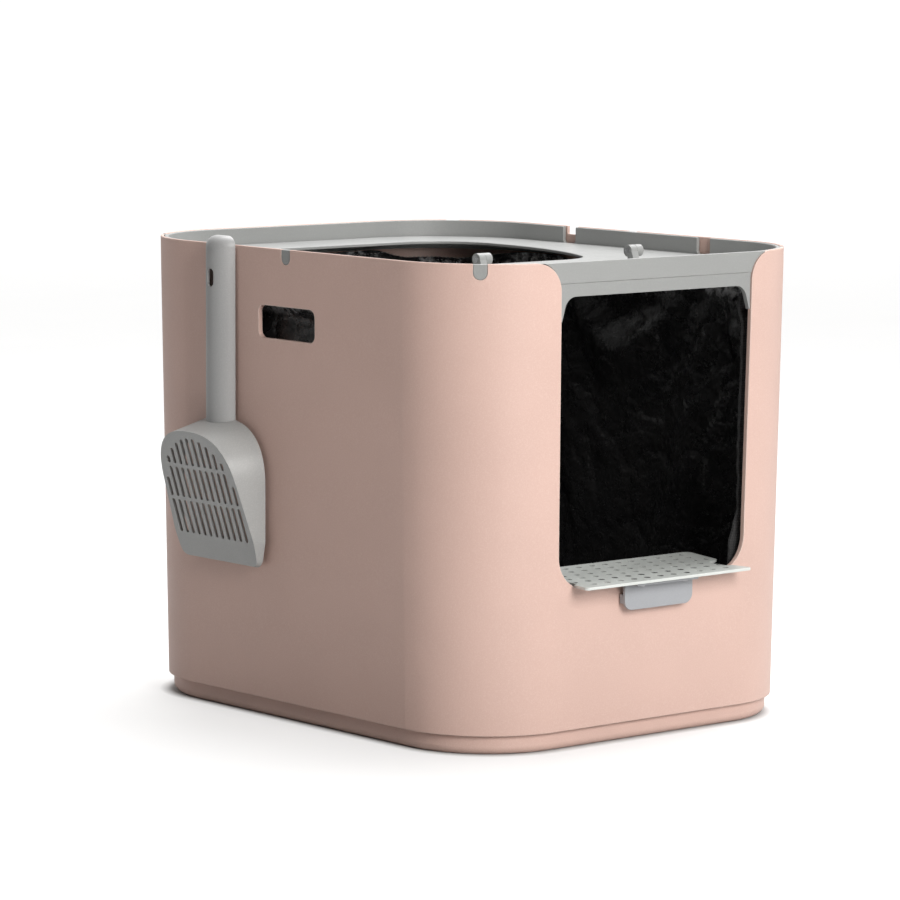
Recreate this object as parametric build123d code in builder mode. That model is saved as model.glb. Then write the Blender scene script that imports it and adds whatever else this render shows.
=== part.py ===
"""Cat litter box with hood.

A drafted plastic housing stands on a shallow base tray and holds a fabric liner. A lift-off top frame
closes it with a hinged lid that has the top entry. The front doorway has a clip-on landing, and a
scoop hangs on the rim of the left wall.

Millimetres. The origin is on the floor under the middle of the housing, +Z is up, the doorway faces
-Y and the scoop hangs on the -X side.
"""

import os
from math import atan2, cos, radians, sin, tan

from build123d import *

os.makedirs("parts", exist_ok=True)

# Housing
WIDTH = 426.0
DEPTH = 528.0
HEIGHT = 432.0
FRONT_CORNER = 101.0
BACK_CORNER = 112.0
DRAFT = 0.95
WALL = 4.5
RIM_WALL = 3.0
SEAM_Z = 17.5
FLANGE_THICK = 6.0
EDGE_ROUND = 0.8
FLANGE_GAP = 0.4

# Base tray
BASE_INSET = 11.8
BASE_ROUND = 7.0
FLOOR_THICK = 4.0
UPSTAND_INSET = 17.4
UPSTAND_WALL = 2.5
UPSTAND_HIGH = 14.0
PAD_SIZE = (64.0, 16.0)
PAD_SPOT = (95.0, 205.0)
PAD_THICK = 1.5
PAD_GAP = 0.4
BASE_SCREW_X = 88.0
BASE_SCREW_Y = 130.0
BASE_SCREW_LOW = 8.0
BASE_HEAD_HIGH = 2.0
BASE_HEAD_R = 2.4
BASE_SHANK_R = 1.25
BASE_PILOT_R = 1.3

# Top frame
FRAME_TOP = HEIGHT - 0.5
FRAME_BOTTOM = 403.8
RING_OUT = 3.8
RING_IN = 7.3
LEDGE_IN = 17.3
LEDGE_Z = 409.0
LEDGE_TOP = 412.0
PLATE_BOTTOM = 413.3
PLATE_TOP = 416.0
PLATE_GAP = 0.3
FIT = 0.7

# Doorway
DOOR_HALF = 115.0
SILL_HALF = 112.0
SILL_Z = 143.5
SILL_CORNER = 30.0
SHOULDER_Z = 406.0
SHOULDER_R = 26.0
LINTEL_Z = 401.5
HEADER_LEG_Z = 380.0
HEADER_FRONT = -262.0
APRON_FRONT = -262.3
HEADER_BOSS_X = (-96.0, -34.0, 34.0, 96.0)
HEADER_BOSS_Y = -249.0

# Notches in the rim, and the frame lugs that fill them
NOTCH_WIDE = 12.8
NOTCH_Z = 418.0
LUG_GAP = 0.4

# Hinge of the lid
HINGE_Y = -130.6
HINGE_Z = 426.0
HINGE_X = 91.8
BARREL_R = 5.5
BARREL_LONG = 7.5
PIN_R = 2.0
PIN_PLAY = 0.05

# Hand holes, scoop slot and finger gaps
HAND_HOLE = (82.0, 30.0)
HAND_HOLE_Z = 365.0
SCOOP_SLOT_Y = 85.5
SCOOP_SLOT_WIDE = 15.0
SCOOP_SLOT_Z = 424.0
FINGER_GAP_Y = -104.0
RING_GAP_WIDE = 18.0

# Scoop
SCOOP_X = -214.5
SCOOP_Y = 90.0
BOWL_HALF = 62.5
BOWL_LOW = 139.0
BOWL_ARCH_Z = 228.0
BOWL_ARCH_HIGH = 45.0
BOWL_DEEP = 46.0
BOWL_TAPER = 14.0
BOWL_SKIN = 2.2
GRATE_SLOPE = 17.4
GRATE_X = -241.0
GRATE_Z = 212.0
HANDLE_WIDE = 36.0
HANDLE_DEEP = 15.5
HANDLE_TOP = 440.0
HANDLE_SKIN = 2.5
HANG_HOLE = (17.0, 9.0)
HANG_HOLE_Z = 402.0
HOOK_REACH = 8.0
HOOK_THICK = 5.0
HOOK_DROP = 19.0
HOOK_LIP = 2.6

# Landing
LANDING_TOP = SILL_Z + 4.5
LANDING_THICK = 2.5
LANDING_FRONT = -284.0
LANDING_FRONT_HALF = 101.0
CLIP_HALF = 41.0
CLIP_OUT = -268.0
CLIP_LOW = 120.0
CLIP_THICK = 2.5
CLIP_SPACER_Z = 126.0
CLIP_SPACER_HIGH = 8.0
CLIP_SCREW_X = 26.0

# Liner
LINER_TOP = 404.0
LINER_INSET = 14.5
LINER_SKIN = 1.2
LINER_DOOR_HALF = 118.0
LINER_SILL_Z = 139.0
HEM_HIGH = 18.0
HEM_THICK = 0.8
STUD_Z = 395.0
STUD_X = 75.0
STUD_Y = 125.0
STUD_HOLE_R = 2.0
CLOTH_HOLE_R = 3.2

# Outer face of the drafted wall at the landing's height, measured from the middle
SILL_FACE = -(DEPTH / 2 - (HEIGHT - SILL_Z) * tan(radians(DRAFT)))


def on(plane, shape):
    """A flat shape laid on a plane."""
    with BuildSketch(plane) as laid:
        add(shape)
    return laid.sketch


def plan_shape(inset):
    """Plan outline of the box, moved inwards by an inset."""
    with BuildSketch() as outline:
        Rectangle(WIDTH - 2 * inset, DEPTH - 2 * inset)
        fillet(outline.vertices().group_by(Axis.Y)[0], FRONT_CORNER - inset)
        fillet(outline.vertices().group_by(Axis.Y)[-1], BACK_CORNER - inset)
    return outline.sketch


def plan(height, inset):
    """Plan outline on a level plane."""
    return on(Plane.XY.offset(height), plan_shape(inset))


def drafted(top, inset, deep):
    """Block under a level plane that narrows downwards by the draft angle."""
    with BuildPart() as block:
        extrude(plan(0, inset), amount=deep, taper=DRAFT)
    return mirror(block.part, about=Plane.XY, mode=Mode.PRIVATE).moved(Location((0, 0, top)))


def wall_plane(x, y, turn):
    """Upright plane at a point of the wall, facing outwards at an angle from +X."""
    angle = radians(turn)
    return Plane(origin=(x, y, 0), x_dir=(-sin(angle), cos(angle), 0), z_dir=(cos(angle), sin(angle), 0))


def doorway(gap):
    """Front cut-out with its rounded sill corners and flared shoulders, made smaller by a gap."""
    bend = SHOULDER_R * cos(radians(45))
    flare = DOOR_HALF + SHOULDER_R
    with BuildSketch() as cutout:
        with BuildLine():
            Polyline((0, SILL_Z), (SILL_HALF, SILL_Z), (DOOR_HALF, SHOULDER_Z))
            ThreePointArc(
                (DOOR_HALF, SHOULDER_Z),
                (flare - bend, SHOULDER_Z + bend),
                (flare, SHOULDER_Z + SHOULDER_R),
            )
            Polyline((flare, SHOULDER_Z + SHOULDER_R), (flare, HEIGHT + 10), (0, HEIGHT + 10))
            mirror(about=Plane.YZ)
        make_face()
        fillet(cutout.vertices().group_by(Axis.Y)[0], SILL_CORNER)
        if gap:
            offset(amount=-gap, kind=Kind.INTERSECTION, mode=Mode.REPLACE)
    return cutout.sketch


def notch(wide, low, top):
    """Upright U shape that is open at the top."""
    with BuildSketch() as outline:
        with Locations((0, low + wide / 2)):
            Circle(wide / 2)
            Rectangle(wide, top - low - wide / 2, align=(Align.CENTER, Align.MIN))
    return outline.sketch


corner_out = cos(radians(45))
side_lugs = [wall_plane(WIDTH / 2, 0, 0), wall_plane(-WIDTH / 2, 0, 180)]
corner_lugs = [
    wall_plane(
        side * (WIDTH / 2 - radius * (1 - corner_out)),
        end * (DEPTH / 2 - radius * (1 - corner_out)),
        90 - side * (90 - end * 45),
    )
    for end, radius in ((-1, FRONT_CORNER), (1, BACK_CORNER))
    for side in (-1, 1)
]
lug_planes = side_lugs + corner_lugs

screw_inset = BASE_INSET + 2.4
base_screw_spots = [(x * (WIDTH / 2 - screw_inset), y * BASE_SCREW_Y) for x in (-1, 1) for y in (-1, 1)]
base_screw_spots += [(x * BASE_SCREW_X, y * (DEPTH / 2 - screw_inset)) for x in (-1, 1) for y in (-1, 1)]

stud_draft = (HEIGHT - STUD_Z) * tan(radians(DRAFT))
stud_planes = [wall_plane(side * (WIDTH / 2 - WALL - stud_draft), y, 90 - side * 90)
               for side in (-1, 1) for y in (-STUD_Y, STUD_Y)]
stud_planes += [wall_plane(x, DEPTH / 2 - WALL - stud_draft, 90) for x in (-STUD_X, STUD_X)]

# ---------------------------------------------------------------- housing shell
with BuildPart() as housing_shell:
    add(drafted(HEIGHT, 0, HEIGHT - SEAM_Z))
    add(drafted(HEIGHT, WALL, HEIGHT - SEAM_Z - FLANGE_THICK), mode=Mode.SUBTRACT)
    # step that the top frame rests on
    extrude(plan(HEIGHT, RIM_WALL), amount=-(HEIGHT - FRAME_BOTTOM), mode=Mode.SUBTRACT)
    fillet(housing_shell.edges().group_by(Axis.Z)[-1], EDGE_ROUND)
    extrude(plan(SEAM_Z, UPSTAND_INSET - FLANGE_GAP), amount=FLANGE_THICK, mode=Mode.SUBTRACT)
    extrude(on(Plane.XZ, doorway(0)), amount=DEPTH, mode=Mode.SUBTRACT)
    # hand holes through both side walls
    with BuildSketch(Plane.YZ) as hand_holes:
        with Locations((0, HAND_HOLE_Z)):
            RectangleRounded(*HAND_HOLE, radius=7)
    extrude(amount=WIDTH, both=True, mode=Mode.SUBTRACT)
    # scoop slots in both side rims
    with BuildSketch(Plane.YZ) as scoop_slots:
        with Locations((SCOOP_SLOT_Y, SCOOP_SLOT_Z)):
            Rectangle(SCOOP_SLOT_WIDE, HEIGHT, align=(Align.CENTER, Align.MIN))
        fillet(scoop_slots.vertices().group_by(Axis.Y)[0], 1.2)
    extrude(amount=WIDTH, both=True, mode=Mode.SUBTRACT)
    for lug in lug_planes:
        extrude(on(lug, notch(NOTCH_WIDE, NOTCH_Z, HEIGHT + 10)), amount=12, both=True, mode=Mode.SUBTRACT)
    for stud in stud_planes:
        with BuildSketch(stud.offset(-1)) as stud_hole:
            with Locations((0, STUD_Z)):
                Circle(STUD_HOLE_R)
        extrude(amount=3.6, mode=Mode.SUBTRACT)
    with BuildSketch(Plane.XY.offset(SEAM_Z)) as flange_holes:
        with Locations(base_screw_spots):
            Circle(BASE_PILOT_R)
    extrude(amount=FLANGE_THICK, mode=Mode.SUBTRACT)
housing_shell.part.label = "housing_shell"
export_step(housing_shell.part, "parts/housing_shell.step")

# ---------------------------------------------------------------- base tray
pad_spots = [(x * PAD_SPOT[0], y * PAD_SPOT[1]) for x in (-1, 1) for y in (-1, 1)]
with BuildPart() as base_tray:
    extrude(plan(0, BASE_INSET), amount=SEAM_Z)
    fillet(base_tray.edges().group_by(Axis.Z)[0], BASE_ROUND)
    extrude(plan(SEAM_Z, UPSTAND_INSET), amount=UPSTAND_HIGH)
    extrude(plan(FLOOR_THICK, UPSTAND_INSET + UPSTAND_WALL), amount=HEIGHT, mode=Mode.SUBTRACT)
    with BuildSketch() as pad_pockets:
        with Locations(pad_spots):
            SlotOverall(PAD_SIZE[0] + PAD_GAP, PAD_SIZE[1] + PAD_GAP)
    extrude(amount=PAD_THICK, mode=Mode.SUBTRACT)
    with BuildSketch(Plane.XY.offset(SEAM_Z)) as screw_pilots:
        with Locations(base_screw_spots):
            Circle(BASE_PILOT_R)
    extrude(amount=BASE_SCREW_LOW - 0.5 - SEAM_Z, mode=Mode.SUBTRACT)
base_tray.part.label = "base_tray"
export_step(base_tray.part, "parts/base_tray.step")

with BuildPart() as anti_slip_pads:
    with BuildSketch() as pads:
        with Locations(pad_spots):
            SlotOverall(*PAD_SIZE)
    extrude(amount=PAD_THICK)
anti_slip_pads.part.label = "anti_slip_pads"
export_step(anti_slip_pads.part, "parts/anti_slip_pads.step")

flange_top = SEAM_Z + FLANGE_THICK
with BuildPart() as base_screws:
    with BuildSketch(Plane.XY.offset(flange_top)) as heads:
        with Locations(base_screw_spots):
            Circle(BASE_HEAD_R)
    extrude(amount=BASE_HEAD_HIGH)
    with BuildSketch(Plane.XY.offset(flange_top)) as shanks:
        with Locations(base_screw_spots):
            Circle(BASE_SHANK_R)
    extrude(amount=BASE_SCREW_LOW - flange_top)
    with BuildSketch(Plane.XY.offset(flange_top + BASE_HEAD_HIGH)) as crosses:
        with Locations(base_screw_spots):
            Rectangle(2.8, 0.7)
            Rectangle(0.7, 2.8)
    extrude(amount=-1.1, mode=Mode.SUBTRACT)
base_screws.part.label = "base_screws"
export_step(base_screws.part, "parts/base_screws.step")

# ---------------------------------------------------------------- top frame
header_boss_spots = [(x, HEADER_BOSS_Y) for x in HEADER_BOSS_X]
strip_back = HINGE_Y - 1.0
strip_low = PLATE_BOTTOM - PLATE_GAP


def barrel(low_x, foot):
    """Hinge barrel along X from low_x, with a foot down to the plate on one side of the axis."""
    foot_out = HINGE_Y + foot * 9.5
    foot_in = HINGE_Y + foot * 1.8
    with BuildSketch(Plane.YZ.offset(low_x)) as section:
        with Locations((HINGE_Y, HINGE_Z)):
            Circle(BARREL_R)
        with BuildLine():
            Polyline(
                (HINGE_Y + foot * BARREL_R, HINGE_Z),
                (foot_out, PLATE_TOP - 0.5),
                (foot_in, PLATE_TOP - 0.5),
                (foot_in, HINGE_Z),
                close=True,
            )
        make_face()
        with Locations((HINGE_Y, HINGE_Z)):
            Circle(PIN_R + PIN_PLAY, mode=Mode.SUBTRACT)
    return section.sketch


with BuildPart() as top_frame:
    extrude(plan(FRAME_BOTTOM, RING_OUT), amount=FRAME_TOP - FRAME_BOTTOM)
    extrude(plan(LEDGE_TOP, RING_IN), amount=FRAME_TOP - LEDGE_TOP, mode=Mode.SUBTRACT)
    fillet(top_frame.edges().group_by(Axis.Z)[-1], EDGE_ROUND)
    extrude(plan(LEDGE_Z, LEDGE_IN), amount=LEDGE_TOP - LEDGE_Z, mode=Mode.SUBTRACT)
    extrude(plan(FRAME_BOTTOM, RING_IN), amount=LEDGE_Z - FRAME_BOTTOM, mode=Mode.SUBTRACT)
    # room for the door header under the front edge
    with Locations((0, -DEPTH / 2, FRAME_BOTTOM)):
        Box(
            2 * (DOOR_HALF + 1), 60, strip_low - FRAME_BOTTOM,
            align=(Align.CENTER, Align.CENTER, Align.MIN), mode=Mode.SUBTRACT,
        )
    # fixed front part of the platform
    with BuildSketch(Plane.XY.offset(strip_low)) as strip:
        add(plan_shape(RING_IN - 0.5))
        with Locations((0, strip_back)):
            Rectangle(WIDTH, DEPTH, align=(Align.CENTER, Align.MAX), mode=Mode.INTERSECT)
    extrude(amount=PLATE_TOP - strip_low)
    # apron that fills the top of the front cut-out
    with BuildSketch(Plane.XZ.offset(-APRON_FRONT)) as apron:
        add(doorway(FIT))
        with Locations((0, (PLATE_BOTTOM + FRAME_TOP) / 2)):
            Rectangle(WIDTH, FRAME_TOP - PLATE_BOTTOM, mode=Mode.INTERSECT)
    extrude(amount=-5.2)
    # lugs that stand in the notches of the housing's rim
    for lug in lug_planes:
        lug_face = notch(NOTCH_WIDE - 2 * LUG_GAP, NOTCH_Z + LUG_GAP, FRAME_TOP)
        extrude(on(lug.offset(-0.35), lug_face), amount=-5)
    # finger gaps and scoop gaps in the side walls, down to the platform
    with BuildSketch(Plane.YZ) as ring_gaps:
        with Locations((FINGER_GAP_Y, PLATE_TOP), (SCOOP_SLOT_Y, PLATE_TOP)):
            Rectangle(RING_GAP_WIDE, 40, align=(Align.CENTER, Align.MIN))
        fillet(ring_gaps.vertices().group_by(Axis.Y)[0], 3)
    extrude(amount=WIDTH, both=True, mode=Mode.SUBTRACT)
    # room for the lip of the scoop's hook outside the ledge
    for side in (-1, 1):
        with Locations((side * (WIDTH / 2 - RING_IN - 0.5), SCOOP_SLOT_Y, FRAME_BOTTOM)):
            Box(
                8, SCOOP_SLOT_WIDE + 0.5, PLATE_TOP + 4 - FRAME_BOTTOM,
                align=(Align.MIN if side > 0 else Align.MAX, Align.CENTER, Align.MIN),
                mode=Mode.SUBTRACT,
            )
    # bosses for the header's screws
    with BuildSketch(Plane.XY.offset(strip_low)) as bosses:
        with Locations(header_boss_spots):
            Circle(3.5)
            Circle(1.2, mode=Mode.SUBTRACT)
    extrude(amount=-5)
    for x in (-HINGE_X - BARREL_LONG, HINGE_X - BARREL_LONG):
        extrude(barrel(x, -1), amount=BARREL_LONG - 0.3)
top_frame.part.label = "top_frame"
export_step(top_frame.part, "parts/top_frame.step")

# ---------------------------------------------------------------- door header
header_top = strip_low
tab_top = header_top - 5
tab_low = tab_top - 3
leg_x = DOOR_HALF - 1.7
lintel_x = DOOR_HALF - 8.5
with BuildPart() as door_header:
    with BuildSketch(Plane.XZ.offset(-HEADER_FRONT)) as header_face:
        add(doorway(FIT))
        with Locations((0, HEADER_LEG_Z)):
            Rectangle(
                WIDTH, header_top - HEADER_LEG_Z, align=(Align.CENTER, Align.MIN), mode=Mode.INTERSECT
            )
        with BuildLine():
            Polyline(
                (-leg_x, HEADER_LEG_Z - 1), (-lintel_x, LINTEL_Z), (lintel_x, LINTEL_Z),
                (leg_x, HEADER_LEG_Z - 1), close=True,
            )
        make_face(mode=Mode.SUBTRACT)
        fillet(header_face.vertices().filter_by_position(Axis.Y, LINTEL_Z - 1, LINTEL_Z + 1), 13)
    extrude(amount=-4.5)
    with BuildSketch(Plane.XY.offset(tab_top)) as tabs:
        with Locations([(x, HEADER_FRONT + 4) for x in HEADER_BOSS_X]):
            Rectangle(12, 13, align=(Align.CENTER, Align.MIN))
        with Locations(header_boss_spots):
            Circle(1.4, mode=Mode.SUBTRACT)
    extrude(amount=tab_low - tab_top)
door_header.part.label = "door_header"
export_step(door_header.part, "parts/door_header.step")

with BuildPart() as header_screws:
    with BuildSketch(Plane.XY.offset(tab_low)) as screw_heads:
        with Locations(header_boss_spots):
            Circle(2.6)
    extrude(amount=-1.8)
    fillet(header_screws.edges().group_by(Axis.Z)[0], 0.8)
    with BuildSketch(Plane.XY.offset(tab_low)) as screw_shanks:
        with Locations(header_boss_spots):
            Circle(1.15)
    extrude(amount=7.5)
header_screws.part.label = "header_screws"
export_step(header_screws.part, "parts/header_screws.step")

# ---------------------------------------------------------------- lid
opening_half = 141.0
opening_front = -78.0
opening_back = 191.0
opening_corner = 59.0
opening_side = 108.0
turn_x, turn_y = 102.0, -47.0
# the side is an arc that ends along +Y, and the front corner's arc runs into it without a kink
side_lean = 2 * atan2(opening_half - turn_x, opening_side - turn_y)
front_radius = (turn_y - opening_front) / (1 - sin(side_lean))
front_end = turn_x - front_radius * cos(side_lean)


def entry():
    """Outline of the top entry, wider at the back."""
    turn = opening_corner * cos(radians(45))
    with BuildSketch(Plane.XY.offset(PLATE_TOP)) as outline:
        with BuildLine():
            Line((0, opening_front), (front_end, opening_front))
            TangentArc((front_end, opening_front), (turn_x, turn_y), tangent=(1, 0))
            TangentArc(
                (turn_x, turn_y), (opening_half, opening_side), tangent=(sin(side_lean), cos(side_lean))
            )
            Line((opening_half, opening_side), (opening_half, opening_back - opening_corner))
            ThreePointArc(
                (opening_half, opening_back - opening_corner),
                (opening_half - opening_corner + turn, opening_back - opening_corner + turn),
                (opening_half - opening_corner, opening_back),
            )
            Line((opening_half - opening_corner, opening_back), (0, opening_back))
            mirror(about=Plane.YZ)
        make_face()
    return outline.sketch


lid_front = HINGE_Y + 1.0
with BuildPart() as lid_panel:
    with BuildSketch(Plane.XY.offset(PLATE_BOTTOM)) as plate:
        add(plan_shape(RING_IN + 1.1))
        with Locations((0, lid_front)):
            Rectangle(WIDTH, DEPTH, align=(Align.CENTER, Align.MIN), mode=Mode.INTERSECT)
    extrude(amount=PLATE_TOP - PLATE_BOTTOM)
    extrude(entry(), amount=-20, mode=Mode.SUBTRACT)
    fillet(lid_panel.edges().group_by(Axis.Z)[-1].filter_by(GeomType.CIRCLE), EDGE_ROUND)
    for x in (-HINGE_X, HINGE_X):
        extrude(barrel(x, 1), amount=BARREL_LONG)
lid_panel.part.label = "lid_panel"
export_step(lid_panel.part, "parts/lid_panel.step")

for side, name in ((-1, "hinge_pin_left"), (1, "hinge_pin_right")):
    start = side * HINGE_X - BARREL_LONG
    with BuildPart() as hinge_pin:
        with BuildSketch(Plane.YZ.offset(start - 0.9)) as pin_head:
            with Locations((HINGE_Y, HINGE_Z)):
                Circle(3.1)
        extrude(amount=0.8)
        with BuildSketch(Plane.YZ.offset(start - 0.1)) as pin_shank:
            with Locations((HINGE_Y, HINGE_Z)):
                Circle(PIN_R)
        extrude(amount=2 * BARREL_LONG + 0.4)
    hinge_pin.part.label = name
    export_step(hinge_pin.part, "parts/" + name + ".step")

bumper_spots = [(x * (WIDTH / 2 - 13), y) for x in (-1, 1) for y in (-60, 60)]
bumper_spots += [(x, DEPTH / 2 - 13) for x in (-70, 70)]
with BuildPart() as lid_bumpers:
    with BuildSketch(Plane.XY.offset(LEDGE_TOP)) as bumpers:
        with Locations(bumper_spots):
            Circle(3.5)
    extrude(amount=PLATE_BOTTOM - LEDGE_TOP)
lid_bumpers.part.label = "lid_bumpers"
export_step(lid_bumpers.part, "parts/lid_bumpers.step")

# ---------------------------------------------------------------- scoop
scoop_plane = Plane(origin=(SCOOP_X, SCOOP_Y, 0), x_dir=(0, -1, 0), z_dir=(-1, 0, 0))
grate_normal = (-cos(radians(GRATE_SLOPE)), 0, -sin(radians(GRATE_SLOPE)))
grate_plane = Plane(origin=(GRATE_X, SCOOP_Y, GRATE_Z), x_dir=(0, -1, 0), z_dir=grate_normal)


def bowl_outline(inset):
    """Rim outline of the scoop's bowl, on the plane beside the wall."""
    half = BOWL_HALF - inset
    with BuildSketch(scoop_plane) as outline:
        with BuildLine():
            Polyline(
                (0, BOWL_LOW + inset),
                (half - 5, BOWL_LOW + inset),
                (half, BOWL_LOW + 24),
                (half, BOWL_ARCH_Z - 12),
            )
            Spline(
                (half, BOWL_ARCH_Z - 12),
                (half * 0.75, BOWL_ARCH_Z + (BOWL_ARCH_HIGH - inset) * 0.68),
                (0, BOWL_ARCH_Z + BOWL_ARCH_HIGH - inset),
                tangents=[(0, 1), (-1, 0)],
            )
            mirror(about=Plane.YZ)
        make_face()
        fillet(outline.vertices().group_by(Axis.Y)[0], 10 - inset)
    return outline.sketch


def bowl_block(inset, skin):
    """Tapered block of the bowl, cut off along the sloping grate."""
    with BuildPart() as block:
        extrude(bowl_outline(inset), amount=BOWL_DEEP, taper=BOWL_TAPER)
        split(bisect_by=grate_plane.offset(-skin), keep=Keep.BOTTOM)
    return block.part


outer_bowl = bowl_block(0, 0)
inner_bowl = bowl_block(BOWL_SKIN, BOWL_SKIN)
slot_pitch = 9.0
with BuildPart() as scoop_bowl:
    add(outer_bowl)
    add(inner_bowl, mode=Mode.SUBTRACT)
    # rows of sifting slots, shortened where the bowl's arch leaves less room
    for low, high in ((-52.0, -18.5), (-15.5, 15.0), (18.0, 46.0)):
        for step in range(12):
            across = (step - 5.5) * slot_pitch
            arch = 46.0 - 0.0125 * across**2 - 12.0 * (abs(across) > 45)
            top = min(high, arch)
            if top - low < 7:
                continue
            with BuildSketch(grate_plane) as slot:
                with Locations((across, (low + top) / 2)):
                    SlotOverall(top - low, 4.8, rotation=90)
            extrude(amount=10, both=True, mode=Mode.SUBTRACT)
    # tang that the handle is pushed on
    with Locations((SCOOP_X - 1.0, SCOOP_Y, BOWL_ARCH_Z + BOWL_ARCH_HIGH - 4)):
        Box(3.5, 22, 34, align=(Align.MAX, Align.CENTER, Align.MIN))
scoop_bowl.part.label = "scoop_bowl"
export_step(scoop_bowl.part, "parts/scoop_bowl.step")


def handle_section(height, inset):
    """Half-round section of the handle with its flat side to the wall."""
    half = HANDLE_WIDE / 2 - inset
    with BuildSketch(Plane.XY.offset(height)) as section:
        with BuildLine():
            ThreePointArc(
                (SCOOP_X, SCOOP_Y - half), (SCOOP_X - HANDLE_DEEP + inset, SCOOP_Y), (SCOOP_X, SCOOP_Y + half)
            )
            Line((SCOOP_X, SCOOP_Y + half), (SCOOP_X, SCOOP_Y - half))
        make_face()
    return section.sketch


handle_low = BOWL_ARCH_Z + BOWL_ARCH_HIGH - 14
hollow_top = HANDLE_TOP - 14
hook_wide = SCOOP_SLOT_WIDE - 2.5
with BuildPart() as scoop_handle:
    extrude(handle_section(handle_low, 0), amount=HANDLE_TOP - handle_low)
    crown = scoop_handle.faces().sort_by(Axis.Z)[-1]
    fillet(crown.edges().filter_by(GeomType.CIRCLE), 10)
    extrude(handle_section(handle_low, HANDLE_SKIN), amount=hollow_top - handle_low, mode=Mode.SUBTRACT)
    # the foot of the handle follows the top of the bowl
    add(outer_bowl, mode=Mode.SUBTRACT)
    # hanging hole
    with BuildSketch(Plane.YZ.offset(SCOOP_X)) as hang_hole:
        with Locations((SCOOP_Y, HANG_HOLE_Z)):
            SlotOverall(*HANG_HOLE, rotation=90)
    extrude(amount=-HANDLE_DEEP - 1, mode=Mode.SUBTRACT)
    # hook over the rim of the housing
    with Locations((SCOOP_X - 3, SCOOP_SLOT_Y, SCOOP_SLOT_Z)):
        Box(3 + HOOK_REACH, hook_wide, HOOK_THICK, align=(Align.MIN, Align.CENTER, Align.MIN))
    with Locations((SCOOP_X + HOOK_REACH, SCOOP_SLOT_Y, SCOOP_SLOT_Z + HOOK_THICK)):
        Box(HOOK_LIP, hook_wide, HOOK_DROP, align=(Align.MAX, Align.CENTER, Align.MAX))
scoop_handle.part.label = "scoop_handle"
export_step(scoop_handle.part, "parts/scoop_handle.step")

# ---------------------------------------------------------------- landing
clip_screw_spots = [(x, CLIP_OUT - 6) for x in (-CLIP_SCREW_X, CLIP_SCREW_X)]
landing_low = LANDING_TOP - LANDING_THICK
with BuildPart() as landing_plate:
    with BuildSketch(Plane.XY.offset(landing_low)) as tread:
        with BuildLine():
            Polyline(
                (0, LANDING_FRONT), (LANDING_FRONT_HALF, LANDING_FRONT), (97, -262.5),
                (90, -259.5), (90, -238), (112, -226), (124, -174), (0, -174),
            )
            mirror(about=Plane.YZ)
        make_face()
        fillet(tread.vertices().filter_by_position(Axis.Y, LANDING_FRONT - 1, LANDING_FRONT + 1), 4)
        fillet(tread.vertices().filter_by_position(Axis.Y, -239, -170), 6)
    extrude(amount=LANDING_THICK)
    fillet(landing_plate.edges().group_by(Axis.Z)[-1], 0.6)
    for row in range(6):
        shift = 0.5 * (row % 2)
        with BuildSketch(Plane.XY.offset(LANDING_TOP)) as holes:
            with Locations([((step + shift) * 16.0, -270 + row * 16.5) for step in range(-7, 7)]):
                Circle(3.0)
            with Locations((0, -225)):
                Rectangle(2 * (88 if row < 2 else 104), 200, mode=Mode.INTERSECT)
        extrude(amount=-10, mode=Mode.SUBTRACT)
    # saddle that rests on the sill
    with Locations((0, SILL_FACE + WALL / 2, landing_low)):
        Box(140, WALL + 2, landing_low - SILL_Z, align=(Align.CENTER, Align.CENTER, Align.MAX))
    # rib that hooks behind the wall under the sill
    with BuildSketch(Plane.XY.offset(landing_low)) as rib:
        with Locations((0, SILL_FACE + WALL + 1.4)):
            Rectangle(90, 2.5, align=(Align.CENTER, Align.MIN))
    extrude(amount=-20)
    with BuildSketch(Plane.XY.offset(landing_low)) as clip_bosses:
        with Locations(clip_screw_spots):
            Circle(3.0)
    extrude(amount=LANDING_THICK)
landing_plate.part.label = "landing_plate"
export_step(landing_plate.part, "parts/landing_plate.step")

with BuildPart() as landing_clip:
    with BuildSketch(Plane.XZ.offset(-CLIP_OUT)) as clip_face:
        with Locations((0, landing_low)):
            Rectangle(2 * CLIP_HALF, landing_low - CLIP_LOW, align=(Align.CENTER, Align.MAX))
        fillet(clip_face.vertices().group_by(Axis.Y)[0], 9)
    extrude(amount=-CLIP_THICK)
    with BuildSketch(Plane.XY.offset(landing_low)) as clip_top:
        with Locations((0, CLIP_OUT + CLIP_THICK)):
            Rectangle(2 * CLIP_HALF - 8, 14.5, align=(Align.CENTER, Align.MAX))
        with Locations(clip_screw_spots):
            Circle(1.6, mode=Mode.SUBTRACT)
    extrude(amount=-CLIP_THICK)
    # spacer that keeps the clip off the wall
    with BuildSketch(Plane.XY.offset(CLIP_SPACER_Z)) as clip_spacer:
        with Locations((0, CLIP_OUT + CLIP_THICK - 0.5)):
            Rectangle(2 * CLIP_HALF - 1, 5.0, align=(Align.CENTER, Align.MIN))
    extrude(amount=CLIP_SPACER_HIGH)
landing_clip.part.label = "landing_clip"
export_step(landing_clip.part, "parts/landing_clip.step")

with BuildPart() as landing_screws:
    with BuildSketch(Plane.XY.offset(landing_low - CLIP_THICK)) as clip_heads:
        with Locations(clip_screw_spots):
            Circle(2.8)
    extrude(amount=-1.6)
    fillet(landing_screws.edges().group_by(Axis.Z)[0], 0.8)
    with BuildSketch(Plane.XY.offset(landing_low - CLIP_THICK)) as clip_shanks:
        with Locations(clip_screw_spots):
            Circle(1.5)
    extrude(amount=CLIP_THICK)
landing_screws.part.label = "landing_screws"
export_step(landing_screws.part, "parts/landing_screws.step")

# ---------------------------------------------------------------- liner
liner_high = LINER_TOP - FLOOR_THICK


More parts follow.
